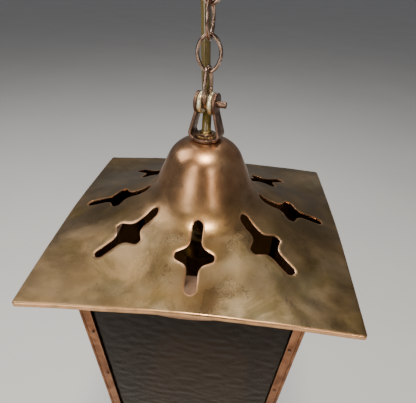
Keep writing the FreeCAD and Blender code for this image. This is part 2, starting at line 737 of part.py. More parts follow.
def make_lampholder():
    """Bayonet lampholder: domed cap, slotted barrel, shade ring, insulator and two plungers."""
    radius = "Dims.holder_radius"
    inside = "(Dims.holder_radius - Dims.holder_wall)"
    tall = "Dims.holder_cap_height"
    rim = "Dims.holder_cap_rim"
    stem = "Dims.stem_radius + Dims.fit"
    cap_floor = "(Dims.holder_top - Dims.holder_cap_height - Dims.drop)"
    turned("lampholder_cap", [
        (inside, "0"), (radius, "0"), (radius, rim), ("%s - 1.6" % radius, "%s + 2" % rim),
        ("Dims.holder_neck + 1", "%s - 1.6" % tall), ("Dims.holder_neck", tall), (stem, tall),
        (stem, "%s - 4.2" % tall), ("Dims.holder_neck - 0.4", "%s - 4.2" % tall),
        ("%s - 1.6" % inside, "%s + 1" % rim), (inside, "%s - 0.8" % rim)], cap_floor)
    barrel_floor = "(%s - Dims.holder_body_height)" % cap_floor
    barrel = cylinder("BarrelBlank", radius, "Dims.holder_body_height", z=barrel_floor)
    bore = cylinder("BarrelBore", inside, "Dims.holder_body_height + 2", z="%s - 1" % barrel_floor)
    slot = box("BarrelSlot", "40", "2.8", "10", z="%s - 0.1" % barrel_floor)
    keep(cut("Barrel", cut("BarrelTube", barrel, bore), slot), "lampholder_barrel")
    ring_bore = "%s + 0.1" % radius
    ring_collar = "%s + 2.2" % radius
    turned("shade_ring", [
        (ring_bore, "0"), (ring_collar, "0"), (ring_collar, "Dims.shade_ring_height - 1.6"),
        ("Dims.shade_ring_radius", "Dims.shade_ring_height - 1.2"),
        ("Dims.shade_ring_radius", "Dims.shade_ring_height"),
        (ring_bore, "Dims.shade_ring_height")], "%s + Dims.shade_ring_rise" % barrel_floor)
    block_floor = "(%s - Dims.insulator_height - 0.5)" % cap_floor
    block = cylinder("InsulatorBlank", "%s - 0.1" % inside, "Dims.insulator_height", z=block_floor)
    sides = ((1, "-Dims.plunger_x"), (2, "Dims.plunger_x"))
    bores = [cylinder("PlungerBore%d" % i, "Dims.plunger_radius + 0.1", "12", x=x, z="%s - 1" % block_floor)
             for i, x in sides]
    keep(cut("Insulator", block, fuse("PlungerBores", *bores)), "lampholder_insulator")
    pins = [cylinder("Plunger%d" % i, "Dims.plunger_radius", "9", x=x, z="%s - 3" % block_floor)
            for i, x in sides]
    keep(group("Plungers", *pins), "contact_plungers")


def make_lamp():
    """Bayonet lamp: metal cap with two side pins, solder contacts, glass bulb and filament."""
    head = "(Dims.holder_top - Dims.holder_cap_height - Dims.lamp_depth - Dims.drop)"
    floor = "(%s - Dims.lamp_cap_height)" % head
    inside = "Dims.lamp_cap_radius - Dims.lamp_cap_wall"
    crown_thickness = 3.0
    cap = cylinder("LampCapBlank", "Dims.lamp_cap_radius", "Dims.lamp_cap_height", z=floor)
    cavity = cylinder("LampCapInside", inside, "Dims.lamp_cap_height", z="%s - %s" % (floor, crown_thickness))
    pins = doc.addObject("Part::Cylinder", "LampPins")
    bind(pins, {"Radius": "1.1", "Height": "27"})
    pins.Placement.Rotation = FreeCAD.Rotation(Vector(0, 1, 0), 90)
    place(pins, x="-13.5", z="%s - 6.5" % head)
    core = cylinder("LampPinGap", inside, "6", z="%s - 9" % head)
    shell = cut("LampCapShell", cap, cavity)
    keep(fuse("LampCap", shell, cut("LampPinStubs", pins, core)), "lamp_cap")
    contacts = [cylinder("Contact%d" % i, "2.6", "0.5", x=x, z=head)
                for i, x in ((1, "-Dims.plunger_x"), (2, "Dims.plunger_x"))]
    keep(group("Contacts", *contacts), "lamp_contacts")

    ball = size("lamp_radius")
    wall = size("lamp_glass")
    neck = size("lamp_cap_radius") - size("lamp_cap_wall") - 0.1
    top = 8.0 - size("lamp_cap_height")
    throat_level = -size("lamp_cap_height") - 6.0
    middle = size("lamp_cap_height") - 94.0

    def envelope(radius, throat, reach):
        points = [Vector(throat, 0, reach), Vector(throat, 0, throat_level),
                  Vector(radius * 0.98, 0, middle + 16), Vector(radius, 0, middle - radius),
                  Vector(0, 0, middle - radius)]
        radii = [0, 20.0, 14.0, radius * 0.92, 0]
        skin = corner_arcs(points, radii)
        close = Part.makePolygon([points[-1], Vector(0, 0, reach), points[0]])
        face = Part.Face(Part.Wire(Part.__sortEdges__(list(skin.Edges) + list(close.Edges))))
        return face.revolve(Vector(0, 0, 0), Vector(0, 0, 1), 360)

    below_seal = square_block(60, -120, top - wall)
    hollow_glass = envelope(ball - wall, neck - wall, top + 1).common(below_seal)
    level = size("holder_top") - size("holder_cap_height") - size("lamp_depth") - size("drop")
    keep(feature("LampGlass", envelope(ball, neck, top).cut(hollow_glass), level), "lamp_glass")

    arm, rise, wire = 9.0, -56.0, 0.6
    route = [Vector(-3, 0, top - wall - 1), Vector(-3, 0, -40), Vector(-arm, 0, rise), Vector(0, 0, rise - 3),
             Vector(arm, 0, rise), Vector(3, 0, -40), Vector(3, 0, top - wall - 1)]
    path = corner_arcs(route, [0, 4.0, 1.5, 6.0, 1.5, 4.0, 0])
    section = Part.Wire([Part.Circle(route[0], Vector(0, 0, 1), wire).toShape()])
    keep(feature("Filament", path.makePipeShell([section], True, False), level), "lamp_filament")


# ---------------------------------------------------------------- flex
def flex_route():
    """Corner points of the flex from the ferrule up to the grip in the cup, from the eaves."""
    end = size("drop") - size("cup_depth") - 2.0
    return [
        Vector(0, 0, size("ferrule_seat")),
        Vector(0, 0, 77.4),
        Vector(-0.5, 10.6, 86.4),
        Vector(-1.6, 12.9, 95.0),
        Vector(-2.6, 13.0, 108.0),
        Vector(-3.4, 13.2, 126.0),
        Vector(-4.0, 13.2, 152.0),
        Vector(-8.0, 13.6, 178.0),
        Vector(size("grip_x"), size("grip_y"), end),
    ]


def make_flex():
    route = flex_route()
    radii = [0.0]
    for a, b, c in zip(route, route[1:], route[2:]):
        turn = (b - a).getAngle(c - b)
        reach = 0.45 * min((b - a).Length, (c - b).Length)
        radii.append(reach / math.tan(turn / 2))
    radii.append(0.0)
    path = corner_arcs(route, radii)
    length = path.Length
    diameter = size("flex_diameter")
    first = (route[1] - route[0]).normalize()
    section = Part.Wire([Part.Circle(route[0], first, diameter / 2).toShape()])
    tube = path.makePipeShell([section], True, False)
    expected = math.pi * diameter * diameter / 4 * length
    print("flex radii:", [round(r, 1) for r in radii[1:-1]], "length: %.1f" % length)
    print("flex volume %.0f, section times length %.0f" % (tube.Volume, expected))
    keep(feature("Flex", tube, -size("drop")), "flex")


# ---------------------------------------------------------------- ceiling fittings
def make_ceiling():
    """Bar and eye hook in the ceiling, the cup that hides them, cord grip and terminal block."""
    deep, radius, wall = "Dims.cup_depth", "Dims.cup_radius", "Dims.cup_sheet"
    hook_hole = "Dims.hook_shank + Dims.fit"
    turned("cup_blank", [
        ("3.3", "0"), ("18", "0"), ("34", "4.5"), ("43.5", "11"), (radius, "%s - 3.5" % deep),
        (radius, deep), ("%s - %s" % (radius, wall), deep), ("%s - %s" % (radius, wall), "%s - 3.3" % deep),
        ("43", "12"), ("33.6", "5.6"), ("18", wall), ("3.3", wall)], "-%s" % deep)
    blank = NODES.pop()
    blank.Label = "CupBlank"
    grip_hole = cylinder("GripHole", "4.8", "8", x="Dims.grip_x", y="Dims.grip_y", z="-Dims.cup_depth - 3")
    keep(cut("Cup", blank, grip_hole), "ceiling_cup")

    bar = box("BarBlank", "Dims.bar_length", "Dims.bar_width", "Dims.bar_sheet", z="-Dims.bar_sheet")
    holes = [cylinder("BarHoleLeft", "Dims.screw_hole", "9", x="-Dims.screw_spacing / 2", z="-6"),
             cylinder("BarHoleRight", "Dims.screw_hole", "9", x="Dims.screw_spacing / 2", z="-6"),
             cylinder("BarHoleHook", hook_hole, "9", z="-6")]
    keep(cut("Bar", bar, fuse("BarHoles", *holes)), "ceiling_bar")

    head = chain_levels()[-1][1] - size("wire") / 2 - size("link_gap") - size("hook_wire") / 2 - size("drop")
    loop_centre = head + size("hook_radius")
    loop = Vector(0, 0, loop_centre)
    ring = Part.makeTorus(size("hook_radius"), size("hook_wire") / 2, loop, Vector(1, 0, 0))
    mouth = Part.makeBox(8, 20, 4.6, Vector(-4, 1, loop_centre + 0.5))
    shank_floor = loop_centre + size("hook_radius") - 0.4
    shank = Part.makeCylinder(size("hook_shank"), -shank_floor, Vector(0, 0, shank_floor))
    keep(feature("Hook", ring.cut(mouth).fuse(shank)), "ceiling_hook")

    nut = doc.addObject("Part::Prism", "HookNutBlank")
    nut.Polygon = 6
    bind(nut, {"Circumradius": "10 / 1.732", "Height": "5"})
    place(nut, z="-Dims.bar_sheet - 5")
    nut_bore = cylinder("HookNutBore", hook_hole, "12", z="-12")
    keep(cut("HookNut", nut, nut_bore), "hook_nut")
    turned("cup_ring", [
        (hook_hole, "0"), ("5.6", "0"), ("7.2", "1.6"), ("7.2", "5"), (hook_hole, "5")],
        "-Dims.cup_depth - 5")
    turned("cord_grip", [
        ("Dims.flex_diameter / 2 + Dims.fit", "0"), ("6.2", "0"), ("6.2", "2"), ("4.75", "2"), ("4.75", "9"),
        ("Dims.flex_diameter / 2 + Dims.fit", "9")],
        "-Dims.cup_depth - 2", x="Dims.grip_x", y="Dims.grip_y")

    block = box("BlockBlank", "24", "15", "12", x="18", z="-14")
    wire_holes = [box("BlockHole%d" % i, "26", "3.6", "3.6", x="18", y=y, z="-8") for i, y in
                  ((1, "-3.6"), (2, "3.6"))]
    screw_holes = [cylinder("BlockWell%d%d" % (i, j), "1.9", "6.5", x=x, y=y, z="-14.1")
                   for i, x in ((1, "12"), (2, "24")) for j, y in ((1, "-3.6"), (2, "3.6"))]
    keep(cut("Block", block, fuse("BlockHoles", *(wire_holes + screw_holes))), "terminal_block")
    screws = [cylinder("BlockScrew%d%d" % (i, j), "1.6", "5.2", x=x, y=y, z="-13")
              for i, x in ((1, "12"), (2, "24")) for j, y in ((1, "-3.6"), (2, "3.6"))]
    keep(group("BlockScrews", *screws), "terminal_screws")


# ---------------------------------------------------------------- build, test and write
make_ceiling()
make_chain()
make_bail()
make_pin_and_discs()
make_stem()
make_roof()
make_posts()
make_frames()
make_glass()
make_rivets_and_clips()
make_lampholder()
make_lamp()
make_flex()
doc.removeObject(scratch.Name)
doc.recompute()

for item in doc.Objects:
    bad = [state for state in item.State if state in ("Invalid", "Error")]
    if bad:
        raise RuntimeError("%s is %s" % (item.Label, bad))
for node in NODES:
    if node.Shape.isNull() or not node.Shape.isValid() or node.Shape.Volume <= 0:
        raise RuntimeError("%s has no valid solid" % node.Label)

os.makedirs("parts", exist_ok=True)
for node in NODES:
    node.Shape.exportStep("parts/%s.step" % node.Label)
    extent = node.Shape.BoundBox
    print("%-24s solids %2d  volume %9.1f  z %7.1f .. %7.1f" % (
        node.Label, len(node.Shape.Solids), node.Shape.Volume, extent.ZMin, extent.ZMax))
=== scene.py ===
import json
import math
import random

import bpy
from mathutils import Matrix, Vector, kdtree, noise
from mathutils.geometry import delaunay_2d_cdt


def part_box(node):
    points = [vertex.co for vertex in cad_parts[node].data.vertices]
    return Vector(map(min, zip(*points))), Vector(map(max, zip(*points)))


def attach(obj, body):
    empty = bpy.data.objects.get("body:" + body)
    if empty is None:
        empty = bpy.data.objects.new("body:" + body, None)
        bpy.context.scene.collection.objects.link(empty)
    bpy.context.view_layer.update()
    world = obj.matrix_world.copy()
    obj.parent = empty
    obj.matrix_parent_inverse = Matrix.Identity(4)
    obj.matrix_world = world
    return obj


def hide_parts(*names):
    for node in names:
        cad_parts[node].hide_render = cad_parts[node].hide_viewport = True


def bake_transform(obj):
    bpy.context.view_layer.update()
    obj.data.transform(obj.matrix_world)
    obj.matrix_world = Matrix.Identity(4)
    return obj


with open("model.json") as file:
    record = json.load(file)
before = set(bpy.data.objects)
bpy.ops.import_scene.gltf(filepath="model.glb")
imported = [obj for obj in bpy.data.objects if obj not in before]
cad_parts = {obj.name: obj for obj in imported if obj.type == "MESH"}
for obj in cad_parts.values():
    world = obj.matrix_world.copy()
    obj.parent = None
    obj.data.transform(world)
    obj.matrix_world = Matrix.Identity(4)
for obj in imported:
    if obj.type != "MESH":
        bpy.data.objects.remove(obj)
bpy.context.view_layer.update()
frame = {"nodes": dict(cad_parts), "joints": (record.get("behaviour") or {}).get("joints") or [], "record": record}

MM = 0.001

# ---------------------------------------------------------------- places taken from the frame
ROOF_LOW, ROOF_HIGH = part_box("roof")
ROOF_WIDTH = ROOF_HIGH[0] - ROOF_LOW[0]
BODY_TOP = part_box("roof_hoop")[0][2]
EAVES = BODY_TOP + 3.2 * MM            # the plane of the roof's four corners
PIN_LOW, PIN_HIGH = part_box("bail_pin")
PIN_HEIGHT = (PIN_LOW[2] + PIN_HIGH[2]) / 2
HANGER_TURN = math.radians(-16.0)      # the bail, its pin and the lowest link stand turned


def above_eaves(height_mm):
    """A height in the row frame, from millimetres above the eaves."""
    return EAVES + height_mm * MM


# ---------------------------------------------------------------- camera
def make_camera():
    """The view from above and in front: distances are in roof widths from the middle of the eaves."""
    azimuth, elevation, roll = math.radians(3.938), math.radians(30.844), math.radians(2.471)
    distance, aim_x, aim_y = 1.552, 0.016, 0.073
    focal_over_width = 406.05 / 416.0
    back = Vector((math.sin(azimuth) * math.cos(elevation), -math.cos(azimuth) * math.cos(elevation),
                   math.sin(elevation)))
    right = Vector((math.cos(azimuth), math.sin(azimuth), 0))
    up = back.cross(right)
    place = (right * aim_x + up * aim_y + back * distance) * ROOF_WIDTH + Vector((0, 0, EAVES))
    across = right * math.cos(roll) + up * math.sin(roll)
    upward = up * math.cos(roll) - right * math.sin(roll)
    data = bpy.data.cameras.new("camera")
    data.sensor_width = 36.0
    data.lens = focal_over_width * data.sensor_width
    data.clip_start = 0.01
    camera = bpy.data.objects.new("camera", data)
    bpy.context.scene.collection.objects.link(camera)
    turn = Matrix((across, upward, back)).transposed().to_4x4()
    camera.matrix_world = Matrix.Translation(place) @ turn
    bpy.context.scene.camera = camera


make_camera()


# ---------------------------------------------------------------- mesh helpers
def add_mesh(name, points, faces, smooth=True):
    mesh = bpy.data.meshes.new(name)
    mesh.from_pydata([tuple(p) for p in points], [], faces)
    mesh.validate()
    if smooth:
        mesh.shade_smooth()
    piece = bpy.data.objects.new(name, mesh)
    bpy.context.scene.collection.objects.link(piece)
    return piece


def rounded(points, radii, closed=False, step=0.5):
    """Samples of a 2-D outline of straight runs joined by tangent arcs, in the units of its points."""
    samples = []
    count = len(points)
    for i, (x, y) in enumerate(points):
        here = Vector((x, y))
        if radii[i] <= 0 or (not closed and i in (0, count - 1)):
            samples.append(here)
            continue
        before = (Vector(points[i - 1]) - here).normalized()
        after = (Vector(points[(i + 1) % count]) - here).normalized()
        half = before.angle(after) / 2
        middle = here + (before + after).normalized() * (radii[i] / math.sin(half))
        start = here + before * (radii[i] / math.tan(half)) - middle
        sweep = math.pi - 2 * half
        sweep *= 1 if before.cross(after) < 0 else -1
        steps = max(3, math.ceil(abs(sweep) * radii[i] / step))
        for k in range(steps + 1):
            samples.append(middle + Matrix.Rotation(sweep * k / steps, 2) @ start)
    return samples


def resampled(points, step, closed=False):
    """The same line with its long runs divided."""
    line = []
    pairs = list(zip(points, points[1:]))
    if closed:
        pairs.append((points[-1], points[0]))
    for a, b in pairs:
        parts = max(1, round((b - a).length / step))
        for k in range(parts):
            if (b - a).length > 1e-9:
                line.append(a.lerp(b, k / parts))
    if not closed:
        line.append(points[-1])
    return line


def lathe(name, outline, steps=96, ripple=None):
    """A turned piece from a closed outline of (radius, height) in metres."""
    points, faces = [], []
    count = len(outline)
    for j in range(steps):
        angle = 2 * math.pi * j / steps
        for r, z in outline:
            reach = r * ripple(angle, r, z) if ripple else r
            points.append((reach * math.cos(angle), reach * math.sin(angle), z))
    for j in range(steps):
        for i in range(count):
            a, b = j * count + i, j * count + (i + 1) % count
            c, d = ((j + 1) % steps) * count + (i + 1) % count, ((j + 1) % steps) * count + i
            faces.append((a, d, c, b))
    return add_mesh(name, points, faces)


def turned_outline(points_mm, radii_mm, base):
    """A closed outline in millimetres, rounded, as metres with its zero at a height."""
    samples = resampled(rounded(points_mm, radii_mm, closed=True, step=0.25), 1.5, closed=True)
    return [(p.x * MM, base + p.y * MM) for p in samples]


def tube(name, line, radius, closed=False, sides=20, cap=True):
    """A round bar along a line of points. radius is a number or a function of the point's index."""
    count = len(line)
    tangents = []
    for i in range(count):
        before = line[i - 1] if closed or i else line[i]
        after = line[(i + 1) % count] if closed or i < count - 1 else line[i]
        tangents.append((after - before).normalized())
    side = tangents[0].orthogonal().normalized()
    sides_at = [side]
    for a, b in zip(tangents, tangents[1:]):
        side = a.rotation_difference(b) @ side
        sides_at.append((side - b * side.dot(b)).normalized())
    twist = 0.0
    if closed:
        end = tangents[-1].rotation_difference(tangents[0]) @ sides_at[-1]
        twist = math.atan2(end.cross(sides_at[0]).dot(tangents[0]), end.dot(sides_at[0]))
    points, faces = [], []
    for i in range(count):
        spin = twist * i / count
        u = sides_at[i] * math.cos(spin) + tangents[i].cross(sides_at[i]) * math.sin(spin)
        v = tangents[i].cross(u)
        thick = radius(i) if callable(radius) else radius
        for k in range(sides):
            angle = 2 * math.pi * k / sides
            points.append(line[i] + (u * math.cos(angle) + v * math.sin(angle)) * thick)
    for i in range(count if closed else count - 1):
        for k in range(sides):
            a, b = i * sides + k, i * sides + (k + 1) % sides
            c, d = ((i + 1) % count) * sides + (k + 1) % sides, ((i + 1) % count) * sides + k
            faces.append((a, b, c, d))
    if cap and not closed:
        faces.append(tuple(reversed(range(sides))))
        faces.append(tuple(range((count - 1) * sides, count * sides)))
    return add_mesh(name, points, faces)


def finish_piece(piece, body, material, slot, *nodes):
    """Give a piece its material, the CAD nodes that it stands for and its body; slot is not used."""
    piece.data.materials.clear()
    piece.data.materials.append(material)
    if nodes:
        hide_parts(*nodes)
    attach(piece, body)
    return piece


def soften(piece, width_mm, segments=3, angle=35):
    """A small rounding on a piece's hard edges."""
    bevel = piece.modifiers.new("edges", "BEVEL")
    bevel.width = width_mm * MM
    bevel.segments = segments
    bevel.limit_method = "ANGLE"
    bevel.angle_limit = math.radians(angle)
    bevel.harden_normals = True
    return piece


# ---------------------------------------------------------------- materials
class Nodes:
    """A material's node tree, built a node at a time."""

    def __init__(self, name):
        self.material = bpy.data.materials.new(name)
        self.material.use_nodes = True
        self.tree = self.material.node_tree
        self.shader = self.tree.nodes["Principled BSDF"]
        self.place = self.add("ShaderNodeTexCoord").outputs["Object"]

    def add(self, kind, **settings):
        node = self.tree.nodes.new(kind)
        for key, value in settings.items():
            setattr(node, key, value)
        return node

    def link(self, source, target):
        self.tree.links.new(source, target)

    def stretched(self, scale):
        node = self.add("ShaderNodeMapping")
        node.inputs["Scale"].default_value = scale
        self.link(self.place, node.inputs["Vector"])
        return node.outputs["Vector"]

    def noise(self, scale, detail=4.0, rough=0.55, distortion=0.0, vector=None):
        node = self.add("ShaderNodeTexNoise")
        node.inputs["Scale"].default_value = scale
        node.inputs["Detail"].default_value = detail
        node.inputs["Roughness"].default_value = rough
        node.inputs["Distortion"].default_value = distortion
        self.link(vector or self.place, node.inputs["Vector"])
        return node.outputs["Fac"]

    def ramp(self, factor, stops):
        node = self.add("ShaderNodeValToRGB")
        elements = node.color_ramp.elements
        while len(elements) < len(stops):
            elements.new(0.5)
        for element, (position, colour) in zip(elements, stops):
            element.position = position
            element.color = (*colour, 1.0) if len(colour) == 3 else colour
        self.link(factor, node.inputs["Fac"])
        return node.outputs["Color"]

    def grey(self, factor, low, high, start=0.3, end=0.7):
        node = self.add("ShaderNodeMapRange")
        node.inputs["From Min"].default_value = start
        node.inputs["From Max"].default_value = end
        node.inputs["To Min"].default_value = low
        node.inputs["To Max"].default_value = high
        self.link(factor, node.inputs["Value"])
        return node.outputs["Result"]

    def mix(self, factor, a, b, blend="MIX"):
        node = self.add("ShaderNodeMix", data_type="RGBA", blend_type=blend)
        node.clamp_result = True
        for value, target in ((factor, 0), (a, 6), (b, 7)):
            if isinstance(value, (int, float)):
                node.inputs[target].default_value = value
            elif isinstance(value, tuple):
                node.inputs[target].default_value = (*value, 1.0)
            else:
                self.link(value, node.inputs[target])
        return node.outputs[2]

    def math(self, operation, a, b=0.0):
        node = self.add("ShaderNodeMath", operation=operation)
        node.use_clamp = True
        for value, target in ((a, 0), (b, 1)):
            if isinstance(value, (int, float)):
                node.inputs[target].default_value = value
            else:
                self.link(value, node.inputs[target])
        return node.outputs[0]

    def bump(self, height, distance, strength=1.0, under=None):
        node = self.add("ShaderNodeBump")
        node.inputs["Distance"].default_value = distance
        node.inputs["Strength"].default_value = strength
        self.link(height, node.inputs["Height"])
        if under:
            self.link(under, node.inputs["Normal"])
        return node.outputs["Normal"]

    def surface(self, colour=None, roughness=None, normal=None, metallic=None):
        for value, name in ((colour, "Base Color"), (roughness, "Roughness"), (normal, "Normal"),
                            (metallic, "Metallic")):
            if value is None:
                continue
            if isinstance(value, (int, float)):
                self.shader.inputs[name].default_value = value
            else:
                self.link(value, self.shader.inputs[name])
        return self.material


def aged_metal(name, dark, middle, light, patch=55.0, roughness=(0.28, 0.5), pit=0.35, wear=None,
               grain=(1, 1, 1), bump=0.00012):
    """Handled metal: drifting tone, darker pits, fine grain in the gloss, and brighter worn edges."""
    n = Nodes(name)
    drift = n.noise(patch, 6.0, 0.6, 0.4)
    tone = n.ramp(drift, [(0.3, dark), (0.5, middle), (0.68, light)])
    specks = n.noise(patch * 9, 3.0, 0.6)
    pits = n.grey(specks, 0.0, 1.0, 0.60, 0.72)
    tone = n.mix(n.math("MULTIPLY", pits, pit), tone, tuple(c * 0.25 for c in dark))
    if wear:
        edge = n.add("ShaderNodeBevel", samples=4)
        edge.inputs["Radius"].default_value = wear[1]
        plain = n.add("ShaderNodeNewGeometry")
        dot = n.add("ShaderNodeVectorMath", operation="DOT_PRODUCT")
        n.link(edge.outputs["Normal"], dot.inputs[0])
        n.link(plain.outputs["Normal"], dot.inputs[1])
        rubbed = n.grey(dot.outputs["Value"], 1.0, 0.0, 0.80, 0.995)
        rubbed = n.math("MULTIPLY", rubbed, n.grey(n.noise(patch * 3), 0.25, 1.0, 0.35, 0.6))
        tone = n.mix(rubbed, tone, wear[0])
    fine = n.noise(900.0, 4.0, 0.6, vector=n.stretched(grain))
    gloss = n.grey(n.noise(patch * 2.3, 5.0, 0.6), roughness[0], roughness[1], 0.35, 0.65)
    normal = n.bump(fine, bump * 0.35, 0.5, n.bump(n.noise(patch * 4, 4.0), bump, 0.5))
    return n.surface(tone, gloss, normal, 1.0)


def roof_material():
    """Patinated copper: olive stains over khaki brown, a warmer dome, dark pits, bright cut edges."""
    n = Nodes("roof_copper")
    split = n.add("ShaderNodeSeparateXYZ")
    n.link(n.place, split.inputs[0])
    height = n.grey(split.outputs["Z"], 0.0, 1.0, above_eaves(16), above_eaves(46))
    broad = n.noise(16.0, 5.0, 0.55, 0.6)
    sheet_tone = n.ramp(broad, [(0.30, (0.21, 0.125, 0.045)), (0.46, (0.33, 0.205, 0.085)),
                                (0.58, (0.42, 0.275, 0.135)), (0.72, (0.50, 0.34, 0.19))])
    dome_tone = n.ramp(n.noise(38.0, 6.0, 0.6, 0.4),
                       [(0.32, (0.34, 0.155, 0.065)), (0.52, (0.54, 0.28, 0.135)),
                        (0.70, (0.70, 0.41, 0.22))])
    tone = n.mix(height, sheet_tone, dome_tone)
    stains = n.grey(n.noise(24.0, 8.0, 0.68, 1.2), 0.0, 0.8, 0.50, 0.64)
    stains = n.math("MULTIPLY", stains, n.math("SUBTRACT", 1.0, n.math("MULTIPLY", height, 0.75)))
    tone = n.mix(stains, tone, (0.15, 0.10, 0.028))
    bloom = n.grey(n.noise(11.0, 3.0, 0.5, 0.3), 0.0, 0.45, 0.52, 0.70)
    tone = n.mix(bloom, tone, (0.35, 0.33, 0.24))
    specks = n.grey(n.noise(420.0, 3.0, 0.7), 0.0, 0.5, 0.62, 0.73)
    tone = n.mix(specks, tone, (0.06, 0.035, 0.02))
    edge = n.add("ShaderNodeAttribute", attribute_name="wear").outputs["Fac"]
    edge = n.math("MULTIPLY", edge, n.grey(n.noise(140.0, 4.0), 0.45, 1.0, 0.35, 0.6))
    tone = n.mix(edge, tone, (0.95, 0.50, 0.25))
    gloss = n.grey(n.noise(30.0, 7.0, 0.62, 0.5), 0.24, 0.42, 0.35, 0.68)
    gloss = n.math("ADD", gloss, n.math("MULTIPLY", stains, 0.12))
    scratches = n.noise(260.0, 3.0, 0.7, vector=n.stretched((0.08, 1.0, 1.0)))
    normal = n.bump(n.noise(95.0, 3.0), 0.00035, 0.35, n.bump(n.noise(700.0, 4.0), 0.00006, 0.5))
    normal = n.bump(scratches, 0.00008, 0.5, normal)
    n.shader.inputs["Coat Weight"].default_value = 0.35
    n.shader.inputs["Coat Roughness"].default_value = 0.22
    return n.surface(tone, gloss, normal, 1.0)


def glass_material():
    """Amber cathedral glass, its tint darkened almost to black: the amber is the glass's own colour, the
    near-black darkness is painted shade.
    """
    n = Nodes("amber_glass")
    # painted shade: the tint is held near black to stand in for unlit surroundings seen through the panes
    tone = n.ramp(n.noise(14.0, 4.0, 0.5, 0.5), [(0.3, (0.016, 0.007, 0.002)), (0.7, (0.038, 0.017, 0.004))])
    gloss = n.grey(n.noise(60.0, 4.0), 0.04, 0.16)
    normal = n.bump(n.noise(420.0, 3.0), 0.00010, 0.4)
    n.shader.inputs["IOR"].default_value = 1.52
    n.shader.inputs["Specular Tint"].default_value = (0.16, 0.09, 0.04, 1.0)
    n.shader.inputs["Specular IOR Level"].default_value = 0.1
    n.shader.inputs["Transmission Weight"].default_value = 0.9
    return n.surface(tone, gloss, normal, 0.0)


def clear_glass_material():
    n = Nodes("lamp_glass")
    tone = n.ramp(n.noise(30.0), [(0.3, (0.93, 0.93, 0.91)), (0.7, (0.98, 0.98, 0.97))])
    gloss = n.grey(n.noise(120.0, 4.0), 0.02, 0.09)
    normal = n.bump(n.noise(60.0, 2.0), 0.0001, 0.3)
    n.shader.inputs["IOR"].default_value = 1.5
    n.shader.inputs["Transmission Weight"].default_value = 1.0
    return n.surface(tone, gloss, normal, 0.0)


def flex_material():
    """Old-gold PVC with a waxy shine and a little grime."""
    n = Nodes("flex")
    tone = n.ramp(n.noise(60.0, 5.0, 0.6, 0.5, vector=n.stretched((1, 1, 0.25))),
                  [(0.3, (0.115, 0.078, 0.016)), (0.52, (0.185, 0.130, 0.030)),
                   (0.72, (0.235, 0.170, 0.050))])
    grime = n.grey(n.noise(500.0, 4.0), 0.0, 0.5, 0.56, 0.70)
    tone = n.mix(grime, tone, (0.05, 0.035, 0.015))
    gloss = n.grey(n.noise(160.0, 4.0), 0.14, 0.26)
    normal = n.bump(n.noise(260.0, 3.0, vector=n.stretched((1, 1, 0.3))), 0.00004, 0.4)
    n.shader.inputs["Coat Weight"].default_value = 1.0
    n.shader.inputs["Coat Roughness"].default_value = 0.07
    return n.surface(tone, gloss, normal, 0.0)


def plain_material(name, low, high, gloss, bump_scale=300.0):
    n = Nodes(name)
    tone = n.ramp(n.noise(45.0, 5.0, 0.6), [(0.3, low), (0.7, high)])
    return n.surface(tone, n.grey(n.noise(150.0, 4.0), gloss[0], gloss[1]),
                     n.bump(n.noise(bump_scale, 4.0), 0.0001, 0.4), 0.0)


COPPER_RUB = ((0.85, 0.47, 0.30), 0.0006)
BRASS_RUB = ((0.93, 0.78, 0.46), 0.0005)
MATERIALS = {
    "roof_copper": roof_material(),
    "copper": aged_metal("copper", (0.20, 0.11, 0.065), (0.36, 0.21, 0.125), (0.52, 0.32, 0.20),
                         wear=COPPER_RUB),
    "post_copper": aged_metal("post_copper", (0.13, 0.05, 0.022), (0.26, 0.11, 0.052), (0.42, 0.20, 0.105),
                              patch=70.0, wear=COPPER_RUB, grain=(1, 1, 0.1)),
    "dark_copper": aged_metal("dark_copper", (0.10, 0.055, 0.04), (0.21, 0.125, 0.09), (0.36, 0.235, 0.17),
                              patch=150.0, roughness=(0.34, 0.55), pit=0.5, wear=COPPER_RUB, bump=0.0002),
    "chain": aged_metal("chain", (0.17, 0.10, 0.075), (0.42, 0.28, 0.21), (0.68, 0.50, 0.41), patch=170.0,
                        roughness=(0.15, 0.30), pit=0.3, bump=0.00005),
    "brass": aged_metal("brass", (0.20, 0.125, 0.045), (0.39, 0.26, 0.10), (0.57, 0.42, 0.19), patch=90.0,
                        wear=BRASS_RUB),
    "disc_brass": aged_metal("disc_brass", (0.66, 0.50, 0.25), (0.93, 0.81, 0.52), (0.98, 0.92, 0.70),
                             patch=190.0, roughness=(0.30, 0.46), pit=0.3, bump=0.00015),
    "steel": aged_metal("steel", (0.30, 0.29, 0.27), (0.44, 0.43, 0.41), (0.56, 0.55, 0.53)),
    "solder": aged_metal("solder", (0.35, 0.35, 0.36), (0.50, 0.50, 0.51), (0.64, 0.64, 0.66)),
    "ceramic": plain_material("ceramic", (0.62, 0.58, 0.50), (0.80, 0.77, 0.70), (0.18, 0.40)),
    "amber_glass": glass_material(),
    "lamp_glass": clear_glass_material(),
    "flex": flex_material(),
}


# ---------------------------------------------------------------- roof
CROWN = 68.0                           # top of the dome, mm above the eaves
ROOF_OUTLINE = [(0, CROWN), (20.8, CROWN - 0.8), (39.6, 24.4), (68.0, 14.3), (99.0, 4.4), (146.0, -0.25)]
ROOF_RADII = [0, 21.0, 30.0, 160.0, 90.0, 0]
FOLD = 1.3                             # radius of the fold along the eaves, mm
SHEET = 1.0                            # thickness of the copper, mm


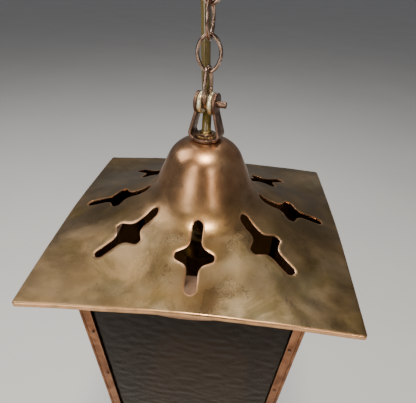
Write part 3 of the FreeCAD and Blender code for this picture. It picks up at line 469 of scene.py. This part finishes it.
class RoofSurface:
    """The height of the roof's outer face over any point in plan, in millimetres from the eaves."""

    def __init__(self):
        samples = rounded(ROOF_OUTLINE, ROOF_RADII, step=0.4)
        self.line = resampled(samples, 0.5)
        self.radii = [p.x for p in self.line]

    def profile(self, r):
        low, high = 0, len(self.radii) - 1
        while high - low > 1:
            middle = (low + high) // 2
            if self.radii[middle] <= r:
                low = middle
            else:
                high = middle
        a, b = self.line[low], self.line[high]
        return a.y + (b.y - a.y) * (r - a.x) / max(1e-9, b.x - a.x)

    def height(self, x, y):
        r = math.hypot(x, y)
        z = self.profile(r)
        swell = noise.noise(Vector((x, y, 3.0)) / 34.0) * 0.38
        blows = noise.noise(Vector((x, y, z)) / 9.0 + Vector((9, 4, 2))) * 0.14
        apron = min(1.0, max(0.0, (r - 12.0) / 30.0))
        return z + swell * apron + blows * (0.35 + 0.65 * apron)


def vent_outline(turn, wobble):
    """A pierced vent in plan: a long round-ended slot with a tapering lobe to each side, cut by hand."""
    def off(amount):
        return wobble.uniform(-amount, amount)
    slot, span, root, tip = 3.6 + off(0.12), 12.6 + off(0.25), 6.6 + off(0.2), 2.2 + off(0.1)
    inner, outer, cross = 40.6 + off(0.4), 89.3 + off(0.5), 64.5 + off(0.4)
    right = [(inner, slot), (cross - root, slot), (cross - tip, span),
             (cross + tip, span), (cross + root, slot), (outer, slot)]
    points = right + [(x + off(0.15), -y) for x, y in reversed(right)]
    radii = [slot * 0.98, 7.0, 2.7, 2.7, 7.0, slot * 0.98] * 2
    samples = resampled(rounded(points, radii, closed=True, step=0.5), 0.8, closed=True)
    spin = Matrix.Rotation(turn + math.radians(off(0.9)), 2)
    return [spin @ p for p in samples]


def inside(point, outline):
    """Whether a point in plan lies in a closed outline."""
    x, y = point
    hit = False
    for a, b in zip(outline, outline[1:] + outline[:1]):
        if (a.y > y) != (b.y > y) and x < (b.x - a.x) * (y - a.y) / (b.y - a.y) + a.x:
            hit = not hit
    return hit


def square_outline(half, radius, step):
    corners = [(half, -half), (half, half), (-half, half), (-half, -half)]
    return resampled(rounded(corners, [radius] * 4, closed=True, step=step / 2), step, closed=True)


def make_roof():
    wobble = random.Random(11)
    surface = RoofSurface()
    half = ROOF_WIDTH / 2 / MM
    vents = [vent_outline(math.radians(-90 + 45 * i), wobble) for i in range(8)]
    hole = [Vector((5.2 * math.cos(a * math.pi / 20), 5.2 * math.sin(a * math.pi / 20))) for a in range(40)]
    border = square_outline(half - FOLD, 0.8, 1.2)
    plan, edges, rims = [], [], []
    for outline in [border, hole] + vents:
        first = len(plan)
        plan += outline
        edges += [(first + i, first + (i + 1) % len(outline)) for i in range(len(outline))]
        rims.append((first, len(plan)))
    outline_count = len(plan)
    near = kdtree.KDTree(outline_count)
    for i, p in enumerate(plan):
        near.insert((p.x, p.y, 0), i)
    near.balance()

    def clear_of_outlines(p, gap):
        return near.find((p.x, p.y, 0))[2] > gap

    def in_a_vent(p):
        return 38 < p.length < 92 and any(inside(p, vent) for vent in vents)

    loose = []
    for sample in resampled(surface.line, 0.9):
        if 5.8 < sample.x < 46:
            around = max(24, int(2 * math.pi * sample.x / 1.1))
            shift = len(loose) % 2 * math.pi / around
            loose += [Vector((sample.x * math.cos(shift + 2 * math.pi * k / around),
                              sample.x * math.sin(shift + 2 * math.pi * k / around))) for k in range(around)]
    pitch = 1.25
    cells = int(half / pitch)
    for i in range(-cells, cells + 1):
        for j in range(-cells, cells + 1):
            p = Vector((i * pitch, j * pitch))
            if p.length > 46.5 and max(abs(p.x), abs(p.y)) < half - FOLD - 0.6:
                loose.append(p)
    plan += [p for p in loose if clear_of_outlines(p, 0.62) and not in_a_vent(p)]

    flat, _, triangles, _, _, _ = delaunay_2d_cdt(plan, edges, [], 0, 1e-6)
    points = [Vector((p.x, p.y, surface.height(p.x, p.y))) for p in flat]
    faces = []
    for face in triangles:
        middle = sum((flat[i] for i in face), Vector((0, 0))) / len(face)
        if middle.length > 5.1 and not in_a_vent(middle):
            faces.append(tuple(face))
    wear = [0.0] * len(points)
    cut_edges = kdtree.KDTree(outline_count)
    for start, end in rims[1:]:
        for i in range(start, end):
            cut_edges.insert((plan[i].x, plan[i].y, 0), i)
    cut_edges.balance()
    for i, p in enumerate(flat):
        reach = cut_edges.find((p.x, p.y, 0))[2]
        wear[i] = max(0.0, 1.0 - reach / 1.3)
        points[i].z -= 0.34 * max(0.0, 1.0 - reach / 1.2) ** 2

    rows = [list(range(*rims[0]))]
    centre = [Vector((p.x, p.y)) for p in border]
    count = len(border)
    outward = []
    for i in range(count):
        along = (centre[(i + 1) % count] - centre[i - 1]).normalized()
        outward.append(Vector((along.y, -along.x)))
    fold = [(math.radians(a), 0.0) for a in (18, 36, 54, 72, 90)]
    fold += [(math.pi / 2, d) for d in (0.6, 1.2, 1.7)]
    for angle, down in fold:
        row = []
        for i, p in enumerate(border):
            out = FOLD * math.sin(angle)
            z = surface.height(p.x, p.y) - FOLD * (1 - math.cos(angle)) - down
            q = p + outward[i] * out
            row.append(len(points))
            points.append(Vector((q.x, q.y, z)))
            wear.append(0.85 * math.sin(angle) if down < 1 else 0.55)
        rows.append(row)
    for upper, lower in zip(rows, rows[1:]):
        for i in range(count):
            j = (i + 1) % count
            faces.append((upper[i], lower[i], lower[j], upper[j]))
    piece = add_mesh("roof_sheet", [(p.x * MM, p.y * MM, EAVES + p.z * MM) for p in points], faces)
    attribute = piece.data.attributes.new("wear", "FLOAT", "POINT")
    attribute.data.foreach_set("value", wear)
    solid = piece.modifiers.new("thickness", "SOLIDIFY")
    solid.thickness = SHEET * MM
    solid.offset = -1.0
    solid.use_rim = True
    soften(piece, 0.22, 2, 50)
    return finish_piece(piece, "lantern", MATERIALS["roof_copper"], "roof_copper", "roof")


make_roof()


# ---------------------------------------------------------------- chain
def oval_line(length, width, bend, count=120):
    """The centre line of an oval link in its own XZ plane: small end arcs and long side arcs, in mm."""
    a, b = length / 2, width / 2
    side = (a * a + b * b - 2 * a * bend) / (2 * (b - bend))
    angle = math.atan2(a - bend, side - b)
    end_arc = [Vector((bend * math.cos(t), a - bend + bend * math.sin(t)))
               for t in [angle + (math.pi - 2 * angle) * k / 16 for k in range(17)]]
    side_arc = [Vector((b - side + side * math.cos(t), side * math.sin(t)))
                for t in [-angle + 2 * angle * k / 24 for k in range(1, 24)]]
    quarter = side_arc + end_arc
    whole = quarter + [-p for p in quarter]
    line = resampled(whole, 0.4, closed=True)
    return line


LINKS = [("a", 29.3, 15.4, 90.0, 0.0), ("b", 25.0, 18.0, 0.0, 4.0),
         ("c", 25.0, 18.0, 90.0, 6.0), ("d", 25.0, 18.0, 0.0, 8.0)]
WIRE = 2.6


def make_links():
    for letter, length, width, plane_turn, twist in LINKS:
        node = "chain_link_" + letter
        low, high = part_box(node)
        middle = (low[2] + high[2]) / 2
        flat = oval_line(length - WIRE, width - WIRE, 4.6)
        count = len(flat)
        joint = int(count * 0.13)
        turn = Matrix.Rotation(HANGER_TURN + math.radians(plane_turn + twist), 3, "Z")
        line = []
        for i, p in enumerate(flat):
            gap = abs(i - joint) * 0.4
            step = 0.16 * math.exp(-(gap / 1.2) ** 2) * (1 if i > joint else -1)
            line.append(turn @ (Vector((p.x + step, 0, p.y)) * MM) + Vector((0, 0, middle)))

        def radius(i, joint=joint, seed=ord(letter)):
            gap = abs(i - joint) * 0.4
            dent = noise.noise(Vector((i * 0.11, seed, 0))) * 0.02
            return (WIRE / 2 - 0.03 + dent - 0.34 * math.exp(-(gap / 0.28) ** 2)) * MM
        piece = tube("link_" + letter, line, radius, closed=True, sides=24)
        finish_piece(piece, "link_" + letter, MATERIALS["chain"], "chain", node)


make_links()


# ---------------------------------------------------------------- bail, pin and discs
STRAP = 1.9                            # thickness of the bail's strap, mm
EYE = 7.2                              # radius of its eyes
PAD = 9.8                              # radius of its pad on the crown


def make_bail():
    """The strap bent to a pear shape, widened to a pad on the crown and to round eyes at the pin."""
    pin = (PIN_HEIGHT - EAVES) / MM
    base, strap = CROWN + STRAP / 2, STRAP
    half_route = rounded([(0, base), (11.2, base), (6.35, pin - 5.2), (6.35, pin + EYE)], [0, 3.6, 9.0, 0],
                         step=0.4)
    half_route = resampled(half_route, 0.5)
    route = [Vector((-p.x, p.y)) for p in reversed(half_route[1:])] + half_route
    points, faces = [], []
    corners = 12
    for i, p in enumerate(route):
        along = (route[min(i + 1, len(route) - 1)] - route[max(i - 1, 0)]).normalized()
        across = Vector((-along.y, along.x))
        rise = (p.y - base) / (pin - 5.2 - base)
        half = 6.2 + (4.8 - 6.2) * min(1.0, max(0.0, rise))
        if p.y > pin - EYE:
            half = max(half if p.y < pin else 0.0, math.sqrt(max(0.02, EYE ** 2 - (p.y - pin) ** 2)))
        if p.y < base + 0.01 and abs(p.x) < PAD:
            half = max(half, math.sqrt(max(0.0, PAD ** 2 - p.x ** 2)))
        rim = 0.35
        section = rounded([(-strap / 2, -half), (strap / 2, -half), (strap / 2, half), (-strap / 2, half)],
                          [min(rim, half * 0.4)] * 4, closed=True, step=1.0)[:16]
        for s in section:
            q = p + across * s.x
            points.append(Vector((q.x, s.y, q.y)))
        corners = len(section)
    for i in range(len(route) - 1):
        for k in range(corners):
            a, b = i * corners + k, i * corners + (k + 1) % corners
            faces.append((a, b, b + corners, a + corners))
    faces.append(tuple(reversed(range(corners))))
    faces.append(tuple(range((len(route) - 1) * corners, len(route) * corners)))
    turn = Matrix.Rotation(HANGER_TURN, 3, "Z")
    placed = [turn @ (p * MM) + Vector((0, 0, EAVES)) for p in points]
    piece = add_mesh("bail_strap", placed, faces)
    finish_piece(piece, "lantern", MATERIALS["dark_copper"], "dark_copper", "bail")


def crosswise(outline_mm, name):
    """A piece turned about the bail's pin."""
    piece = lathe(name, [(r * MM, x * MM) for r, x in outline_mm], 72)
    turn = Matrix.Rotation(HANGER_TURN, 4, "Z") @ Matrix.Rotation(math.pi / 2, 4, "Y")
    piece.data.transform(Matrix.Translation((0, 0, PIN_HEIGHT)) @ turn)
    return piece


PIN_RADIUS = 2.1
PIN_START, PIN_END = -7.9, 13.2        # along the pin, from the middle of the bail, mm
DISC_RADIUS = 7.5
DISC_BORE = 2.15
DISC_THICKNESS = 3.4
DISC_STARTS = (("disc_right", 1.85), ("disc_left", -5.25))


def make_pin_and_discs():
    """The bail's pin, and the two rounded discs that hold the lowest link in the middle."""
    pin = rounded([(0.01, PIN_START), (PIN_RADIUS, PIN_START), (PIN_RADIUS, PIN_END), (0.01, PIN_END)],
                  [0, 0.4, 0.25, 0], closed=True, step=0.2)
    finish_piece(crosswise(resampled(pin, 1.2, closed=True), "pin"), "lantern",
                 MATERIALS["dark_copper"], "dark_copper", "bail_pin")
    discs = []
    for name, start in DISC_STARTS:
        end = start + DISC_THICKNESS
        outline = rounded([(DISC_BORE, start), (DISC_RADIUS, start), (DISC_RADIUS, end), (DISC_BORE, end)],
                          [0.3, 1.45, 1.45, 0.3], closed=True, step=0.25)
        discs.append(crosswise(resampled(outline, 0.8, closed=True), name))
    for disc in discs:
        finish_piece(disc, "lantern", MATERIALS["disc_brass"], "disc_brass", "bail_spacers")


make_bail()
make_pin_and_discs()


# ---------------------------------------------------------------- stem fittings
def make_stem_fittings():
    """Serrated washer, thin hexagonal nut and the ferrule that the flex comes out of."""
    seat = CROWN + STRAP

    def serrated(angle, r, z):
        notch = abs((angle * 20 / math.pi) % 2 - 1)
        return 1.0 - (0.10 * notch if r > 6.0 * MM else 0.0)
    washer = turned_outline([(5.1, 0), (6.8, 0), (6.8, 0.9), (5.1, 1.0)], [0.1, 0.2, 0.2, 0.1],
                            above_eaves(seat))
    finish_piece(lathe("washer", washer, 240, serrated), "lantern",
                 MATERIALS["brass"], "brass", "stem_collar")

    def hexagonal(angle, r, z):
        flat = 5.7 / math.cos((angle + math.pi / 6) % (math.pi / 3) - math.pi / 6)
        return min(flat * MM, r) / r if r > 5.3 * MM else 1.0
    nut = turned_outline([(5.1, 0), (6.5, 0), (6.5, 1.1), (5.9, 1.5), (5.1, 1.5)],
                         [0.1, 0.15, 0.15, 0.15, 0.1], above_eaves(seat + 1.0))
    finish_piece(lathe("nut", nut, 192, hexagonal), "lantern",
                 MATERIALS["dark_copper"], "dark_copper", "stem_nut")

    ferrule = turned_outline([(2.6, 64.0), (4.05, 64.0), (4.05, 72.1), (3.9, 72.1), (3.9, 73.9), (3.3, 73.9),
                              (3.3, 70.3), (2.6, 70.3)],
                             [0.1, 0.3, 0.1, 0.1, 0.3, 0.2, 0.1, 0.1], above_eaves(0))
    finish_piece(lathe("ferrule", ferrule), "lantern", MATERIALS["brass"], "brass", "flex_ferrule")


make_stem_fittings()


# ---------------------------------------------------------------- glass
def make_glass():
    """Four tapering panes with a rolled, wrinkled outer face."""
    for index, (side, turn) in enumerate((("front", 0), ("right", 90), ("back", 180), ("left", 270))):
        low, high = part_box("glass_front")
        top, bottom = high[2], low[2]
        thick = 3.0 * MM
        upper, lower = high[0], high[0] - 0.083 * (top - bottom)
        face_upper = low[1]
        face_lower = face_upper + 0.083 * (top - bottom)
        columns, rows = 90, 130
        points, faces = [], []
        for skin in (0, 1):
            for j in range(rows + 1):
                t = j / rows
                z = top + (bottom - top) * t
                half = upper + (lower - upper) * t
                y = face_upper + (face_lower - face_upper) * t
                for i in range(columns + 1):
                    x = half * (2 * i / columns - 1)
                    seed = Vector((x / 0.0075, z / 0.0042, index * 5.0))
                    wrinkle = noise.noise(seed + Vector((noise.noise(seed * 0.6), 0, 0)))
                    fine = noise.noise(seed * 2.7)
                    depth = (0.42 + 0.24 * wrinkle + 0.10 * fine) * MM
                    edge = min(i, columns - i, j, rows - j)
                    depth *= min(1.0, edge / 2.0)
                    points.append((x, y + depth if skin == 0 else y + thick, z))
        size = (columns + 1) * (rows + 1)
        for j in range(rows):
            for i in range(columns):
                a = j * (columns + 1) + i
                b, c, d = a + 1, a + columns + 2, a + columns + 1
                faces.append((a, d, c, b))
                faces.append((a + size, b + size, c + size, d + size))
        rim = [i for i in range(columns + 1)]
        rim += [j * (columns + 1) + columns for j in range(1, rows + 1)]
        rim += [rows * (columns + 1) + i for i in range(columns - 1, -1, -1)]
        rim += [j * (columns + 1) for j in range(rows - 1, 0, -1)]
        for a, b in zip(rim, rim[1:] + rim[:1]):
            faces.append((a, b, b + size, a + size))
        piece = add_mesh("pane_" + side, points, faces)
        piece.data.transform(Matrix.Rotation(math.radians(turn), 4, "Z"))
        finish_piece(piece, "lantern", MATERIALS["amber_glass"], "amber_glass", "glass_" + side)


make_glass()


# ---------------------------------------------------------------- flex
FLEX_DIAMETER = 6.4 * MM
ROUTE = [(0, 0, 70.3), (0, 0, 77.4), (-0.5, 10.6, 86.4), (-1.6, 12.9, 95.0), (-2.6, 13.0, 108.0),
         (-3.4, 13.2, 126.0), (-4.0, 13.2, 152.0), (-8.0, 13.6, 178.0), (-11.0, 14.0, 198.0)]


def flex_line():
    """Points along the flex's own NURBS spline, from the ferrule to the grip in the cup."""
    curve = bpy.data.curves.new("flex_route", "CURVE")
    curve.dimensions = "3D"
    curve.resolution_u = 48
    spline = curve.splines.new("NURBS")
    spline.points.add(len(ROUTE) - 1)
    for point, (x, y, z) in zip(spline.points, ROUTE):
        point.co = (x * MM, y * MM, above_eaves(z), 1.0)
    spline.order_u = 3
    spline.use_endpoint_u = True
    holder = bpy.data.objects.new("flex_route", curve)
    bpy.context.scene.collection.objects.link(holder)
    mesh = bpy.data.meshes.new_from_object(holder)
    line = [v.co.copy() for v in mesh.vertices]
    bpy.data.objects.remove(holder)
    if line[0].z > line[-1].z:
        line.reverse()
    return line


def cut_line(line, start, end):
    """The part of a rising line between two heights."""
    part = [p for p in line if start < p.z < end]
    for height, at_start in ((start, True), (end, False)):
        for a, b in zip(line, line[1:]):
            if a.z <= height <= b.z:
                cut = a.lerp(b, (height - a.z) / (b.z - a.z))
                part = [cut] + part if at_start else part + [cut]
                break
    return part


def make_flex():
    """One flex in five lengths, cut at given heights along the chain."""
    line = flex_line()
    hinges = {j["name"]: j for j in frame["joints"]}
    lower, upper = line[0].z, line[-1].z
    pivots = [hinges[name]["pos_m"][2] for name in
              ("pin_swing", "link_b_swing", "link_c_swing", "link_d_swing", "hook_swing")]
    seams = [lower, above_eaves(109.0), above_eaves(119.5), above_eaves(138.5), above_eaves(157.5), upper]
    pieces = []
    for i, pivot in enumerate(pivots):
        part = cut_line(line, seams[i], seams[i + 1])
        part = [part[0]] + [p for p in part[1:-1] if (p - part[0]).length > 1e-4
                            and (p - part[-1]).length > 1e-4] + [part[-1]]
        piece = tube("flex_%d" % (i + 1), part, FLEX_DIAMETER / 2, sides=28, cap=i in (0, 4))
        piece.data.materials.append(MATERIALS["flex"])
        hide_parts("flex")
        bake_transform(piece)
        pieces.append((piece, part))
    for index, others, far in ((0, pieces[1:4], "object"), (4, [], "object")):
        piece, part = pieces[index]


make_flex()


# ---------------------------------------------------------------- CAD pieces that keep their shape
def dress_frame_nodes():
    """Materials, and a small rounding of hard edges, on the CAD nodes that show as they are."""
    for entry in frame["record"]["subparts"]:
        piece = frame["nodes"][entry["node"]]
        piece.data.materials.clear()
        piece.data.materials.append(MATERIALS[entry["material_slot"]])
    for name in ("bottom_frame", "top_frame", "roof_hoop", "ceiling_cup"):
        soften(frame["nodes"][name], 0.25, 2, 40)
    for name in frame["nodes"]:
        if name.startswith("corner_post"):
            soften(frame["nodes"][name], 0.18, 2, 40)


dress_frame_nodes()


# ---------------------------------------------------------------- floor and light
def make_stage():
    n = Nodes("floor")
    tone = n.ramp(n.noise(3.0, 3.0), [(0.3, (0.76, 0.75, 0.73)), (0.7, (0.80, 0.79, 0.77))])
    material = n.surface(tone, n.grey(n.noise(40.0), 0.7, 0.85), None, 0.0)
    level, reach = -0.62, 14.0
    floor = add_mesh("floor", [(-reach, -reach, level), (reach, -reach, level), (reach, reach, level),
                               (-reach, reach, level)], [(0, 1, 2, 3)], smooth=False)
    floor.data.materials.append(material)


def area_light(name, place, aim, width, height, power, colour=(1.0, 0.97, 0.93)):
    data = bpy.data.lights.new(name, "AREA")
    data.shape = "RECTANGLE"
    data.size, data.size_y = width, height
    data.energy = power
    data.color = colour
    light = bpy.data.objects.new(name, data)
    bpy.context.scene.collection.objects.link(light)
    light.location = place
    light.rotation_euler = (Vector(aim) - Vector(place)).to_track_quat("-Z", "Y").to_euler()


def make_lights():
    world = bpy.data.worlds.new("studio")
    world.use_nodes = True
    background = world.node_tree.nodes["Background"]
    background.inputs["Color"].default_value = (0.80, 0.82, 0.86, 1.0)
    background.inputs["Strength"].default_value = 0.17
    bpy.context.scene.world = world
    crown = (0, 0, EAVES + 0.06)
    area_light("overhead_front", (0.03, -0.44, 0.95), crown, 0.26, 0.26, 15.0, (1.0, 0.90, 0.74))
    area_light("overhead_back", (-0.03, 0.47, 0.95), crown, 0.45, 0.50, 8.0, (0.88, 0.94, 1.0))
    area_light("left_panel", (-0.56, -0.95, 0.12), crown, 0.34, 0.95, 4.2, (1.0, 0.97, 0.92))
    area_light("streak", (0.50, -1.15, 0.15), crown, 0.12, 0.75, 2.6, (1.0, 0.90, 0.78))
    area_light("side", (-1.0, 0.1, 0.8), crown, 0.9, 0.9, 7.0)


make_stage()
make_lights()
